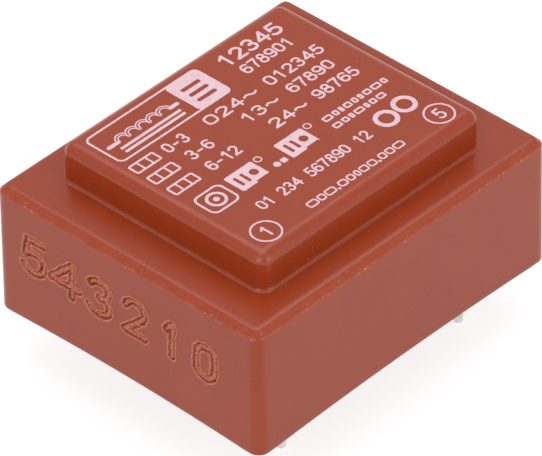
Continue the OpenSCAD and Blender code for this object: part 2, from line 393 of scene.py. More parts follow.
@dataclass(frozen=True)
class PolyesterTape(Finish):
    """Thin yellow tape, wrinkled a little over the turns, with painted shade in the wrinkles' hollows.
    """

    name: str = "polyester_tape"
    colour: Colour = (0.78, 0.52, 0.06)
    deep_colour: Colour = (0.60, 0.33, 0.03)
    roughness: float = 0.22

    def paint(self, graph: Graph) -> None:
        """Sets the shader up."""
        creases = graph.noise(1.4, 4.0, 0.6, graph.stretched((1.0, 0.25, 1.0)))
        # Painted shade: the low parts of the wrinkles are painted darker.
        colour = graph.mix(creases.smooth(0.35, 0.65), self.deep_colour, self.colour)
        graph.set(Base_Color=colour, Roughness=creases * 0.12 + (self.roughness - 0.06))
        graph.bump(creases, 0.5, 0.03)


@dataclass(frozen=True)
class FormerPlastic(Finish):
    """Dark glass-filled plastic."""

    name: str = "former_plastic"
    colour: Colour = (0.018, 0.018, 0.020)
    fibre_colour: Colour = (0.045, 0.044, 0.044)
    roughness: float = 0.48

    def paint(self, graph: Graph) -> None:
        """Sets the shader up."""
        fibres = graph.noise(0.3, 5.0, 0.7, graph.stretched((0.3, 1.0, 1.0)))
        graph.set(Base_Color=graph.mix(fibres.smooth(0.45, 0.75), self.colour, self.fibre_colour))
        graph.set(Roughness=fibres * 0.2 + (self.roughness - 0.10))
        graph.bump(fibres, 0.35, 0.012)


@dataclass(frozen=True)
class LightTable(Finish):
    """A white acrylic table that is lit from below."""

    name: str = "light_table"
    colour: Colour = (0.22, 0.22, 0.222)
    shade_colour: Colour = (0.20, 0.20, 0.202)
    glow: float = 0.80

    def paint(self, graph: Graph) -> None:
        """Sets the shader up."""
        graph.set(Base_Color=graph.mix(graph.noise(60.0, 2.0), self.colour, self.shade_colour))
        graph.set(Roughness=0.8, Specular_IOR_Level=0.2)
        graph.set(Emission_Color=(1.0, 1.0, 1.0), Emission_Strength=self.glow)


TIN = SoftMetal("tinned_wire", (0.72, 0.70, 0.66), (0.50, 0.48, 0.45), 0.34, (1.0, 1.0, 0.08))
FROZEN_SOLDER = SoftMetal("frozen_solder", (0.62, 0.62, 0.61), (0.42, 0.42, 0.42), 0.40, (1.0, 1.0, 1.0))


# ---- pieces


def in_scene(name: str, data: bpy.types.ID) -> bpy.types.Object:
    """Puts a new object with that data into the scene."""
    made = bpy.data.objects.new(name, data)
    bpy.context.scene.collection.objects.link(made)
    return made


def add_piece(
    name: str, mesh: bpy.types.Mesh, material: bpy.types.Material
) -> bpy.types.Object:
    """Puts a mesh into the scene as a piece that rides with the part.

    Args:
        name: The piece's name.
        mesh: Its mesh, in metres and in the part's frame.
        material: Its finish.

    Returns:
        The piece.
    """
    mesh.materials.append(material)
    piece = in_scene(name, mesh)
    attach(piece, BODY)
    LOG.info("%s: %d faces", name, len(mesh.polygons))
    return piece


def mesh_from(name: str, places: np.ndarray, faces: Iterable[Sequence[int]]) -> bpy.types.Mesh:
    """Makes a smooth-shaded mesh.

    Args:
        name: The mesh's name.
        places: One row for each vertex, in millimetres.
        faces: The vertices of each face.

    Returns:
        The mesh, in metres.
    """
    mesh = bpy.data.meshes.new(name)
    mesh.from_pydata((places * MM).tolist(), [], [list(face) for face in faces])
    mesh.validate()
    mesh.polygons.foreach_set("use_smooth", [True] * len(mesh.polygons))
    mesh.update()
    return mesh


def band_faces(rings: int, stations: int, closed: bool = False) -> list[tuple[int, int, int, int]]:
    """The quads between rings that have as many stations each.

    Args:
        rings: How many rings there are.
        stations: How many vertices each has.
        closed: Whether the last ring joins the first.

    Returns:
        The faces, whose normals point outwards where the rings run anticlockwise and upwards.
    """
    faces = []
    for ring in range(rings if closed else rings - 1):
        low = ring * stations
        high = ((ring + 1) % rings) * stations
        for station in range(stations):
            after = (station + 1) % stations
            faces.append((low + station, low + after, high + after, high + station))
    return faces


def arc(centre: Point, radius: float, start: float, end: float, steps: int) -> list[Point]:
    """Points along an arc, both ends included, with its angles in degrees."""
    angles = [math.radians(start + (end - start) * step / steps) for step in range(steps + 1)]
    return [(centre[0] + radius * math.cos(a), centre[1] + radius * math.sin(a)) for a in angles]


def corner_arcs(half_x: float, half_y: float, radius: float, steps: int) -> list[np.ndarray]:
    """The corners of a rounded rectangle, anticlockwise from the +X -Y one."""
    corners = ((1, -1, -90), (1, 1, 0), (-1, 1, 90), (-1, -1, 180))
    across, up = half_x - radius, half_y - radius
    return [np.array(arc((sx * across, sy * up), radius, start, start + 90, steps))
            for sx, sy, start in corners]


def turned(centre: Point, profile: Sequence[Point], stations: int) -> np.ndarray:
    """The vertices of a profile of (radius, height) pairs that is turned about an upright axis."""
    turn = np.arange(stations) * math.tau / stations
    x, y = np.cos(turn), np.sin(turn)
    return np.vstack([np.column_stack([centre[0] + r * x, centre[1] + r * y, np.full(stations, z)])
                      for r, z in profile])


def lathe(name: str, centre: Point, profile: Sequence[Point], stations: int = 48) -> bpy.types.Mesh:
    """Turns a profile about an upright axis and closes both ends with a flat face.

    Args:
        name: The mesh's name.
        centre: Where the axis stands.
        profile: (radius, height) pairs from the lower end to the upper one.
        stations: How many steps make the turn.

    Returns:
        The mesh.
    """
    faces: list[Sequence[int]] = list(band_faces(len(profile), stations))
    last = (len(profile) - 1) * stations
    faces += [range(stations)[::-1], range(last, last + stations)]
    return mesh_from(name, turned(centre, profile, stations), faces)


# ---- plain digits


@dataclass(frozen=True)
class PlainDigits:
    """The centre lines of plain counting digits, in a box that is 0.6 wide and 1 high."""

    width: float = 0.6
    pitch: float = 0.82

    def lines(self, digit: str) -> list[list[Point]]:
        """The lines of one digit from 0 to 9, of "-", "~" or a space, each as points."""
        middle, side = self.width / 2.0, 0.28
        upper, lower = arc((middle, 0.70), side, 0, 180, 10), arc((middle, 0.30), side, 180, 360, 10)
        bowl = arc((middle, 0.30), 0.29, 0, 360, 20)
        six = [[*arc((0.33, 0.66), 0.32, 38, 180, 10), (0.01, 0.32)], bowl]
        shapes = {
            "0": [[*upper, *lower, (0.58, 0.70)]],
            "1": [[(0.10, 0.76), (0.36, 1.0), (0.36, 0.0)]],
            "2": [[*arc((middle, 0.71), side, 165, -38, 12), (0.01, 0.0), (0.59, 0.0)]],
            "3": [arc((0.28, 0.75), 0.25, 155, -90, 12), arc((0.28, 0.27), 0.28, 85, -155, 13)],
            "4": [[(0.45, 0.0), (0.45, 1.0), (0.0, 0.30), (0.62, 0.30)]],
            "5": [[(0.54, 1.0), (0.12, 1.0), (0.06, 0.50), *arc((0.28, 0.31), 0.31, 128, -150, 14)]],
            "6": six,
            "7": [[(0.0, 1.0), (0.60, 1.0), (0.34, 0.45), (0.24, 0.0)]],
            "8": [arc((middle, 0.76), 0.23, 0, 360, 18), arc((middle, 0.27), 0.28, 0, 360, 20)],
            "9": [[(self.width - x, 1.0 - y) for x, y in line] for line in six],
            "-": [[(0.10, 0.42), (0.48, 0.42)]],
            "~": [[(0.75 * t, 0.42 + 0.12 * math.sin(math.tau * t)) for t in np.linspace(0.0, 1.0, 17)]],
            " ": [],
        }
        return shapes[digit]

    def segments(
        self, digit: str, left: float, base: float, width: float, height: float, lean: float
    ) -> np.ndarray:
        """The straight pieces of a placed digit.

        Args:
            digit: The digit.
            left: The left side of its box.
            base: The lower side of its box.
            width: The width of its box.
            height: The height of its box.
            lean: How far its head leans over, as a share of its height.

        Returns:
            One (x, y, x, y) row for each piece.
        """
        rows = []
        for line in self.lines(digit):
            placed = [(left + x / self.width * width + y * lean * height, base + y * height)
                      for x, y in line]
            rows.extend([*a, *b] for a, b in zip(placed, placed[1:]))
        return np.array(rows)


def away_from(segments: np.ndarray, x: np.ndarray, y: np.ndarray) -> np.ndarray:
    """How far each place lies from the nearest of some straight pieces."""
    nearest = np.full(x.shape, 9.0)
    for ax, ay, bx, by in segments:
        run_x, run_y = bx - ax, by - ay
        along = ((x - ax) * run_x + (y - ay) * run_y) / max(run_x * run_x + run_y * run_y, 1e-9)
        along = np.clip(along, 0.0, 1.0)
        nearest = np.minimum(nearest, np.hypot(x - ax - along * run_x, y - ay - along * run_y))
    return nearest


def ruffle(x: np.ndarray, y: np.ndarray, size: float, seed: float) -> np.ndarray:
    """Smooth random values about 0 for some places, with patches of that size."""
    flat = [noise.noise((a / size, b / size, seed)) for a, b in zip(x.ravel(), y.ravel())]
    return np.array(flat).reshape(x.shape)


# ---- the stamp


@dataclass
class SideStamp:
    """Plain digits punched by hand into the case's short side.

    Their strokes are pressed in, with a burr thrown up along both edges and torn plastic between; the
    grooves inside the burrs are painted darker as painted shade.
    """

    digits: str = "543210"
    lefts: tuple[float, ...] = (-10.75, -7.85, -3.95, -0.15, 3.85, 7.15)
    widths: tuple[float, ...] = (2.2, 2.9, 2.4, 2.1, 1.5, 2.0)
    bases: tuple[float, ...] = (5.15, 4.95, 4.95, 5.05, 5.0, 4.75)
    height: float = 3.1
    lean: float = 0.05
    half_stroke: float = 0.34
    rim_width: float = 0.062
    groove_width: float = 0.070
    rim_rise: float = 0.095
    groove_depth: float = 0.13
    crumb: float = 0.075

    def segments(self) -> np.ndarray:
        """Every straight piece of every digit."""
        plain = PlainDigits()
        placed = zip(self.digits, self.lefts, self.bases, self.widths)
        return np.vstack([plain.segments(digit, left, base, width, self.height, self.lean)
                          for digit, left, base, width in placed])

    def relief(self, across: np.ndarray, up: np.ndarray) -> tuple[np.ndarray, np.ndarray]:
        """The stamp's height, and a shift in colour: lighter on burrs and torn plastic, darker in the
        grooves as painted shade.

        Args:
            across: Places along the wall, from left to right as one looks at it.
            up: Heights above the board.

        Returns:
            Heights above the wall in millimetres, and the colour shift from -1 to 1, negative for the
            painted shade in the grooves.
        """
        away = away_from(self.segments(), across, up)
        away += ruffle(across, up, 0.55, 0.0) * 0.09 + ruffle(across, up, 0.2, 2.0) * 0.04
        crumbs = ruffle(across, up, 0.17, 4.0) + ruffle(across, up, 0.09, 6.0) * 0.7
        heave = 1.0 + ruffle(across, up, 0.8, 8.0) * 0.9
        rim = np.exp(-(((away - self.half_stroke - 0.06) / self.rim_width) ** 2))
        groove = np.exp(-(((away - self.half_stroke + 0.085) / self.groove_width) ** 2))
        inside = 1.0 / (1.0 + np.exp((away - self.half_stroke + 0.09) / 0.03))
        height = rim * self.rim_rise * heave - groove * self.groove_depth * heave
        height += inside * (crumbs * self.crumb - 0.02)
        # Burrs and torn plastic come out lighter; the grooves subtract, which is painted shade.
        pale_and_groove_shade = rim * 1.0 + inside * (0.45 + crumbs * 0.8) - groove * 0.75
        return height, np.clip(pale_and_groove_shade, -1.0, 1.0)


# ---- the case


@dataclass(frozen=True)
class Ring:
    """One level line of the case: a rounded rectangle at a height."""

    half_x: float
    half_y: float
    radius: float
    z: float
    # How much lighter the material paints this ring: scuffs and painted highlight lines.
    edge: float = 0.0


@dataclass
class CaseShell:
    """The moulded case: a leaning lower part with a bevelled step, and a raised top."""

    stamp: SideStamp = field(default_factory=SideStamp)
    step_z: float = 11.6
    bevel: float = 0.55
    lean: float = 0.07
    corner: float = 1.0
    top_half: Point = (12.1, 10.5)
    top_corner: float = 1.0
    edge_round: float = 1.03
    round_from: float = 79.0
    round_to: float = 7.0
    foot: float = 0.28
    wall: float = 1.0
    roof: float = 1.0
    inner_corner: float = 0.4
    inner_top_half: Point = (11.1, 9.5)
    rim_arch: float = 0.33
    rim_foot: float = 1.6
    arch_fade: float = 2.4
    corner_steps: int = 12
    stamp_span: Point = (-11.6, 10.2)
    stamp_rows: Point = (4.3, 9.1)
    stamp_pitch: float = 0.062
    low: Vector = field(default_factory=Vector)
    high: Vector = field(default_factory=Vector)

    def __post_init__(self) -> None:
        """Reads the case's box from the frame."""
        low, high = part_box("case")
        self.low = Vector(low) / MM
        self.high = Vector(high) / MM

    def side_places(self) -> tuple[np.ndarray, np.ndarray]:
        """Where the stations of a plain side and of the stamped side lie, from 0 to 1."""
        plain = np.linspace(0.0, 1.0, 40)[1:-1]
        half = self.high.y - self.corner
        first, last = self.stamp_span
        fine = np.arange(first, last, self.stamp_pitch)
        coarse_left = np.linspace(-half, first, 4)[1:-1]
        coarse_right = np.linspace(last, half, 6)[:-1]
        stamped = (np.concatenate([coarse_left, fine, coarse_right]) + half) / (2.0 * half)
        return plain, stamped

    def outline(self, ring: Ring) -> np.ndarray:
        """The (x, y) stations of one ring, anticlockwise from the +X -Y corner."""
        plain, stamped = self.side_places()
        arcs = corner_arcs(ring.half_x, ring.half_y, ring.radius, self.corner_steps)
        rows = []
        for index, points in enumerate(arcs):
            rows.append(points)
            after = arcs[(index + 1) % 4][0]
            share = (stamped if index == 2 else plain)[:, None]
            rows.append(points[-1] + (after - points[-1]) * share)
        return np.vstack(rows)

    def lower_ring(self, inset: float, z: float, edge: float = 0.0) -> Ring:
        """A ring of the lower part, that far in from the rim's outline."""
        return Ring(self.high.x - inset, self.high.y - inset, max(self.corner - inset, 0.05), z, edge)

    def top_ring(self, inset: float, z: float, edge: float = 0.0) -> Ring:
        """A ring of the raised top, that far in from its wall."""
        radius = max(self.top_corner - inset, 0.04)
        return Ring(self.top_half[0] - inset, self.top_half[1] - inset, radius, z, edge)

    def outer_rings(self) -> list[Ring]:
        """The outside, from the rim up to the flat top."""
        bevel_z = self.step_z - self.bevel
        slope = self.lean / bevel_z
        rings = [self.lower_ring(0.07, 0.0), self.lower_ring(0.02, 0.02), self.lower_ring(0.0, 0.07)]
        first, last = self.stamp_rows
        levels = [0.3, 0.8, 1.6, 2.8, 4.0]
        levels += list(np.arange(first, last, self.stamp_pitch))
        levels += [9.4, 10.0, 10.6, bevel_z - 0.16]
        rings += [self.lower_ring(z * slope, z) for z in levels]
        crisp, bevel_end = 0.05, self.lean + self.bevel
        # The third value is how much lighter the ring is painted: painted highlight lines along the
        # bevel's crisp edges, with scuffs.
        bevel_rows = (
            (self.lean, bevel_z - crisp, 1.0),
            (self.lean + crisp * 0.35, bevel_z + crisp * 0.4, 1.0),
            (self.lean + 0.12, bevel_z + 0.12, 0.25),
            (bevel_end - 0.10, self.step_z - 0.10, 0.25),
            (bevel_end - 0.03, self.step_z - 0.03, 0.25),
            (bevel_end + 0.03, self.step_z, 0.0),
            (bevel_end + 0.5, self.step_z, 0.0),
        )
        rings += [self.lower_ring(*row) for row in bevel_rows]
        fillet = arc((-self.foot, self.step_z + self.foot), self.foot, -90, 0, 6)
        # The fillet's foot is painted lighter: a painted highlight line.
        rings += [self.top_ring(inset, z, 0.12 if step < 2 else 0.0)
                  for step, (inset, z) in enumerate(fillet)]
        rings += self.round_rings()
        return rings

    def round_rings(self) -> list[Ring]:
        """The raised top's wall above the fillet and its round edge, with a crease at each end painted
        lighter as a painted highlight line.
        """
        top = self.high.z
        points = [(1.0 - math.sin(math.radians(angle)), math.cos(math.radians(angle)))
                  for angle in np.linspace(self.round_from, self.round_to, 12)]
        start_inset, start_rise = points[0]
        scale = self.edge_round
        rings = [self.top_ring(0.0, self.step_z + 0.9), self.top_ring(0.0, self.step_z + 1.7)]
        crease_z = top - scale * (1.0 - start_rise)
        rings += [self.top_ring(0.0, crease_z - 0.05, 0.0), self.top_ring(0.0, crease_z - 0.015, 0.55)]
        for step, (inset, rise) in enumerate(points):
            edge = 0.45 if step == 0 else 0.0
            rings.append(self.top_ring((inset - start_inset) * scale, top - scale * (1.0 - rise), edge))
        end_inset = (points[-1][0] - start_inset) * scale
        rings[-1] = self.top_ring(end_inset, rings[-1].z, 0.15)
        return rings + [self.top_ring(end_inset + 0.05, top, 0.0), self.top_ring(end_inset + 0.35, top)]

    def inner_rings(self) -> list[Ring]:
        """The inside, from the rim up to the ceiling of the raised top."""
        half_x, half_y = self.high.x - self.wall, self.high.y - self.wall
        chamfer, middle_z = 0.06, 12.5
        under_step, ceiling = self.step_z - self.roof, self.high.z - self.roof
        rings = [Ring(half_x + chamfer, half_y + chamfer, self.inner_corner + chamfer, 0.0)]
        wall_levels = (chamfer, 0.7, 3.0, 7.0, under_step)
        rings += [Ring(half_x, half_y, self.inner_corner, z) for z in wall_levels]
        top_levels = (under_step, middle_z, ceiling)
        return rings + [Ring(*self.inner_top_half, self.inner_corner, z) for z in top_levels]

    def arch(self, x: np.ndarray, y: np.ndarray) -> np.ndarray:
        """How far the rim is raised at each place, in millimetres."""
        raised = np.zeros(x.shape)
        for along, half_side in ((x, self.high.x), (y, self.high.y)):
            half = half_side - self.rim_foot
            radius = (half * half + self.rim_arch ** 2) / (2.0 * self.rim_arch)
            inside = np.clip(radius * radius - along * along, 0.0, None)
            raised = np.maximum(raised, np.sqrt(inside) - radius + self.rim_arch)
        return raised

    def places(self, rings: Sequence[Ring]) -> np.ndarray:
        """The vertices of some rings, with the rim's arch."""
        rows = []
        for ring in rings:
            flat = self.outline(ring)
            lift = self.arch(flat[:, 0], flat[:, 1]) * max(0.0, 1.0 - ring.z / self.arch_fade)
            rows.append(np.column_stack([flat, ring.z + lift]))
        return np.vstack(rows)

    def build(self, material: bpy.types.Material) -> bpy.types.Object:
        """Makes the case as one closed mesh, which stands for the CAD case."""
        outer, inner = self.outer_rings(), self.inner_rings()
        places = self.places([*inner[::-1], *outer])
        stations = len(places) // (len(inner) + len(outer))
        faces: list[Sequence[int]] = list(band_faces(len(inner) + len(outer), stations))
        last = len(places) - stations
        faces.append(range(last, last + stations))
        faces.append(range(stations)[::-1])
        pale_and_groove_shade = self.press_stamp(places, len(inner) * stations)
        mesh = mesh_from("case_shell", places, faces)
        # How much lighter each vertex is painted along edges: scuffs and painted highlight lines.
        edges = np.repeat([ring.edge for ring in (*inner[::-1], *outer)], stations)
        for name, values in (("edge", edges), ("stamp", pale_and_groove_shade)):
            layer = mesh.attributes.new(name, "FLOAT", "POINT")
            layer.data.foreach_set("value", values.astype(np.float32))
        piece = add_piece("case_shell", mesh, material)
        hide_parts("case")
        return piece

    def press_stamp(self, places: np.ndarray, first: int) -> np.ndarray:
        """Moves the stamped side's vertices in and out.

        Args:
            places: Every vertex, changed in place.
            first: The number of the first outer vertex.

        Returns:
            How much lighter each vertex is painted, from -1 to 1; negative values are painted shade in
            the grooves.
        """
        low, high = self.stamp_rows
        on_side = places[:, 0] < self.low.x + 0.2
        on_side &= np.abs(places[:, 1]) < self.high.y - self.corner - 0.05
        on_side &= (places[:, 2] > low - 0.02) & (places[:, 2] < high + 0.02)
        on_side[:first] = False
        height, paleness_and_groove_shade = self.stamp.relief(-places[on_side, 1], places[on_side, 2])
        places[on_side, 0] -= height
        pale_and_groove_shade = np.zeros(len(places))
        pale_and_groove_shade[on_side] = paleness_and_groove_shade
        return pale_and_groove_shade


# ---- the print


@dataclass
class InkField:
    """Ink on a flat face, held as the distance to its nearest edge, negative where there is ink."""

    low: Point
    high: Point
    pitch: float = 0.05
    figures: PlainDigits = field(default_factory=PlainDigits)
    ragged_reach: float = 0.12
    ragged_size: float = 0.16
    ragged_depth: float = 0.028

    def __post_init__(self) -> None:
        """Lays the grid out."""
        across = np.arange(self.low[0], self.high[0], self.pitch)
        up = np.arange(self.low[1], self.high[1], self.pitch)
        self.x, self.y = np.meshgrid(across, up)
        self.depth = np.full(self.x.shape, 1.0)

    def _window(self, xs: Sequence[float], ys: Sequence[float], margin: float) -> tuple[slice, slice]:
        """The rows and columns round some points."""
        bounds = []
        sides = ((ys, self.low[1], self.x.shape[0]), (xs, self.low[0], self.x.shape[1]))
        for values, start, size in sides:
            first = int((min(values) - margin - start) / self.pitch)
            last = int((max(values) + margin - start) / self.pitch) + 2
            bounds.append(slice(max(first, 0), min(last, size)))
        return bounds[0], bounds[1]

    def _lay(self, window: tuple[slice, slice], distance: np.ndarray, cut: bool) -> None:
        """Adds a shape to the ink, or takes it away."""
        old = self.depth[window]
        self.depth[window] = np.maximum(old, -distance) if cut else np.minimum(old, distance)

    def lines(self, segments: np.ndarray, width: float, cut: bool = False) -> None:
        """Adds straight pieces with round ends, of that width."""
        window = self._window(segments[:, 0::2].ravel(), segments[:, 1::2].ravel(), width)
        self._lay(window, away_from(segments, self.x[window], self.y[window]) - width / 2.0, cut)

    def path(self, points: Sequence[Point], width: float, cut: bool = False) -> None:
        """Adds a line through some points."""
        self.lines(np.array([[*a, *b] for a, b in zip(points, points[1:])]), width, cut)

    def plate(
        self, x0: float, y0: float, x1: float, y1: float, radius: float = 0.1, cut: bool = False
    ) -> None:
        """Adds a filled rectangle with round corners."""
        window = self._window((x0, x1), (y0, y1), 0.2)
        over_x = np.abs(self.x[window] - (x0 + x1) / 2.0) - (x1 - x0) / 2.0 + radius
        over_y = np.abs(self.y[window] - (y0 + y1) / 2.0) - (y1 - y0) / 2.0 + radius
        outside = np.hypot(np.maximum(over_x, 0.0), np.maximum(over_y, 0.0))
        self._lay(window, outside + np.minimum(np.maximum(over_x, over_y), 0.0) - radius, cut)

    def frame(self, x0: float, y0: float, x1: float, y1: float, radius: float, line: float) -> None:
        """Adds the outline of such a rectangle."""
        half = line / 2.0
        self.plate(x0 - half, y0 - half, x1 + half, y1 + half, radius + half)
        self.plate(x0 + half, y0 + half, x1 - half, y1 - half, max(radius - half, 0.02), cut=True)

    def disc(self, x: float, y: float, radius: float, cut: bool = False) -> None:
        """Adds a filled circle."""
        window = self._window((x - radius, x + radius), (y - radius, y + radius), 0.2)
        self._lay(window, np.hypot(self.x[window] - x, self.y[window] - y) - radius, cut)

    def ring(self, x: float, y: float, radius: float, line: float) -> None:
        """Adds a circle's outline."""
        self.disc(x, y, radius + line / 2.0)
        self.disc(x, y, radius - line / 2.0, cut=True)

    def number(
        self, digits: str, left: float, right: float, base: float, height: float, line: float
    ) -> None:
        """Adds plain digits that fill a stretch.

        Args:
            digits: The digits.
            left: Where the first starts.
            right: Where the last ends.
            base: The line that they stand on.
            height: Their height, the line's width included.
            line: The line's width.
        """
        share = (right - left - line) / ((len(digits) - 1) * self.figures.pitch + self.figures.width)
        for index, digit in enumerate(digits):
            start = left + line / 2.0 + index * self.figures.pitch * share
            box = (start, base + line / 2.0, self.figures.width * share, height - line)
            segments = self.figures.segments(digit, *box, 0.0)
            if len(segments):
                self.lines(segments, line)

    def mesh(self, name: str, bottom: float, top: float) -> bpy.types.Mesh:
        """Turns the ink into a film with upright sides.

        Args:
            name: The mesh's name.
            bottom: The height of its lower side.
            top: The height of its upper side.

        Returns:
            The mesh.
        """
        ragged = self.depth.copy()
        near = np.abs(ragged) < self.ragged_reach
        ragged[near] += ruffle(self.x[near], self.y[near], self.ragged_size, 1.0) * self.ragged_depth
        ragged[ragged == 0.0] = 1e-6
        inked = ragged < 0.0
        steps = ((0, 0), (0, 1), (1, 1), (1, 0))
        some = inked[:-1, :-1] | inked[:-1, 1:] | inked[1:, :-1] | inked[1:, 1:]
        places: list[Place] = []
        known: dict[tuple[int, int, int, int, float], int] = {}
        faces: list[list[int]] = []

        def vertex(a: tuple[int, int], b: tuple[int, int], z: float) -> int:
            """The vertex at grid point a, or on the ink's edge between a and b."""
            first, last = min(a, b), max(a, b)
            key = (*first, *last, z)
            if key not in known:
                share = ragged[first] / (ragged[first] - ragged[last]) if first != last else 0.0
                x = self.x[first] + (self.x[last] - self.x[first]) * share
                y = self.y[first] + (self.y[last] - self.y[first]) * share
                known[key] = len(places)
                places.append((x, y, z))
            return known[key]

        for row, column in zip(*np.nonzero(some)):
            corners = [(row + up, column + along) for up, along in steps]
            edge: list[tuple[tuple[int, int], tuple[int, int]]] = []
            for here, after in zip(corners, corners[1:] + corners[:1]):
                if inked[here]:
                    edge.append((here, here))
                if inked[here] != inked[after]:
                    edge.append((here, after))
            faces.append([vertex(*pair, top) for pair in edge])
            for first, second in zip(edge, edge[1:] + edge[:1]):
                if first[0] != first[1] and second[0] != second[1]:
                    faces.append([vertex(*first, bottom), vertex(*second, bottom), vertex(*second, top),
                                  vertex(*first, top)])
        mesh = mesh_from(name, np.array(places), faces)
        mesh.polygons.foreach_set("use_smooth", [False] * len(mesh.polygons))
        return mesh


@dataclass
class TopPrint:
    """A plain chart of the windings and pins, printed on the raised top.

    Fields of colour, simple shapes and plain counting numbers.
    """

    face_z: float
    material: bpy.types.Material
    film: float = 0.012
    line: float = 0.19
    digit_height: float = 1.22
    wire: float = 0.36
    wire_y: float = 7.15
    dash_gap: float = 0.19
    dot: float = 0.2

    def add(self, name: str, ink: InkField) -> None:
        """Puts one field of ink on the face."""
        mesh = ink.mesh(name, self.face_z + 0.001, self.face_z + self.film)
        add_piece(name, mesh, self.material)

    def winding_sign(self) -> None:
        """The framed sign: a coil over its core, and a filled field with a stack of slots."""
        ink = InkField((-11.2, 4.9), (1.7, 9.6))
        ink.plate(-2.15, 5.15, 1.35, 9.25, 0.55)
        for y in (6.0, 6.86, 7.72):
            ink.plate(-1.45, y, 0.55, y + 0.40, 0.18, cut=True)
        frame_ink = InkField((-11.2, 4.9), (1.7, 9.6))
        frame_ink.frame(-10.75, 5.25, 1.25, 9.15, 0.55, self.line)
        ink.depth = np.minimum(ink.depth, frame_ink.depth)
        left, turns, turn = -9.1, 5, 1.12
        for index in range(turns):
            middle = left + (index + 0.5) * turn
            loop = arc((middle, self.wire_y), turn / 2.0, 180, 0, 12)
            ink.path(loop, self.wire)
            ink.path(loop, self.wire / 3.0, cut=True)
        for start, end in ((-10.15, left - 0.1), (left + turns * turn + 0.1, -2.75)):
            ink.path([(start, self.wire_y), (end, self.wire_y)], self.wire)
        for low, high in ((6.28, 6.56), (5.78, 6.06)):
            ink.plate(-9.6, low, -3.1, high, 0.08)
        self.add("print_winding_sign", ink)

    def headings(self) -> None:
        """The two lines of counting numbers beside the sign."""
        ink = InkField((2.5, 5.0), (10.6, 9.3))
        ink.number("12345", 3.0, 9.55, 7.35, 1.52, 0.25)
        ink.number("678901", 3.5, 8.85, 5.62, self.digit_height, self.line)
        self.add("print_headings", ink)

    def number_rows(self) -> None:
        """Three rows: a slotted bar and numbers, a number with a wave, and another number."""
        rows = (
            (3.30, (-10.95, -8.25, "0-3", -7.55, -5.1), ("024~", -3.05, 2.25), ("012345", 3.6, 9.75)),
            (1.40, (-10.95, -8.15, "3-6", -6.95, -4.4), ("13~", -0.95, 2.6), ("67890", 4.1, 8.9)),
            (-0.60, (-10.9, -8.1, "6-12", -6.9, -3.6), ("24~", 0.05, 3.65), ("98765", 4.85, 9.5)),
        )
        ink = InkField((-11.4, -1.0), (10.3, 5.0))
        for base, (left, right, pins, pins_left, pins_right), middle, last in rows:
            ink.frame(left + 0.1, base + 0.1, right - 0.1, base + 1.12, 0.12, self.line)
            for step in range(1, 3):
                x = left + (right - left) * step / 3.0
                ink.path([(x, base + 0.1), (x, base + 1.12)], 0.17)
            for digits, start, end in ((pins, pins_left, pins_right), middle, last):
                ink.number(digits, start, end, base, self.digit_height, self.line)
        self.add("print_number_rows", ink)

    def socket_sign(self, ink: InkField, left: float) -> None:
        """A filled plate with a notch, two slots and a round hole, and a small ring beside it."""
        ink.plate(left, -3.95, left + 2.95, -1.8, 0.16)
        for start, end in ((0.45, 0.75), (1.15, 1.45)):
            ink.plate(left + start, -3.45, left + end, -2.3, 0.1, cut=True)
        ink.disc(left + 2.2, -2.88, 0.38, cut=True)
        ink.plate(left + 1.55, -4.1, left + 2.9, -3.75, 0.05, cut=True)
        ink.ring(left + 3.5, -2.05, 0.30, 0.11)

    def small_signs(self) -> None:
        """The filled shapes under the rows."""
        ink = InkField((-11.2, -7.4), (11.2, -1.2))
        ink.frame(-10.55, -4.25, -7.8, -1.85, 0.55, self.line)
        ink.ring(-9.18, -3.05, 0.74, 0.26)
        ink.disc(-9.18, -3.05, 0.26)
        self.socket_sign(ink, -7.15)
        self.socket_sign(ink, -1.7)
        ink.disc(-3.1, -3.55, 0.30)
        ink.plate(-2.65, -3.85, -2.1, -3.3, 0.12)
        self.dashes(ink, 3.1, -2.85, 0.62, (0.9, 0.5, 0.35, 0.7, 0.5, 0.4, 0.7, 0.9, 0.5))
        self.dashes(ink, 3.05, -3.95, 0.60, (0.8, 0.6, 0.4, 0.9, 0.4, 0.6, 0.8))
        ink.ring(6.5, -5.85, 0.84, 0.40)
        ink.ring(8.7, -5.65, 0.84, 0.40)
        self.add("print_small_signs", ink)

    def dashes(
        self, ink: InkField, left: float, base: float, height: float, widths: Sequence[float]
    ) -> None:
        """A row of short slotted bars."""
        inset = 0.08
        low, high = base + inset, base + height - inset
        for width in widths:
            ink.frame(left + inset, low, left + width - inset, high, 0.06, 0.17)
            left += width + self.dash_gap

    def long_rows(self) -> None:
        """The two long rows along the near edge: numbers, and bars with dots."""
        ink = InkField((-8.2, -9.4), (6.6, -5.0))
        ink.number("01 234 567890 12", -7.8, 4.3, -6.6, 1.14, 0.17)
        left = -5.3
        for width in (1.05, 0.7, 1.05, 0.2, 0.85, 0.7, 0.5, 0.8, 0.8, 0.2, 0.7, 0.75, 1.0):
            if width <= self.dot:
                ink.disc(left + 0.1, -9.0, 0.13)
            else:
                ink.frame(left + 0.1, -9.0, left + width - 0.05, -8.4, 0.18, 0.15)
            left += width + 0.10
        self.add("print_long_rows", ink)

    def pin_ring(self, pin: int, x: float, y: float) -> None:
        """The number of a pin in a ring above it."""
        ink = InkField((x - 1.6, y - 1.6), (x + 1.6, y + 1.6), 0.04)
        ink.ring(x, y, 1.19, 0.16)
        ink.number(str(pin), x - 0.42, x + 0.42, y - 0.66, 1.30, self.line)
        self.add(f"print_pin_{pin}_ring", ink)

    def build(self) -> None:
        """Prints the whole chart."""
        self.winding_sign()
        self.headings()
        self.number_rows()
        self.small_signs()
        self.long_rows()
        self.pin_ring(1, -9.49, -8.39)
        self.pin_ring(5, 9.6, -8.4)


# ---- pins and resin


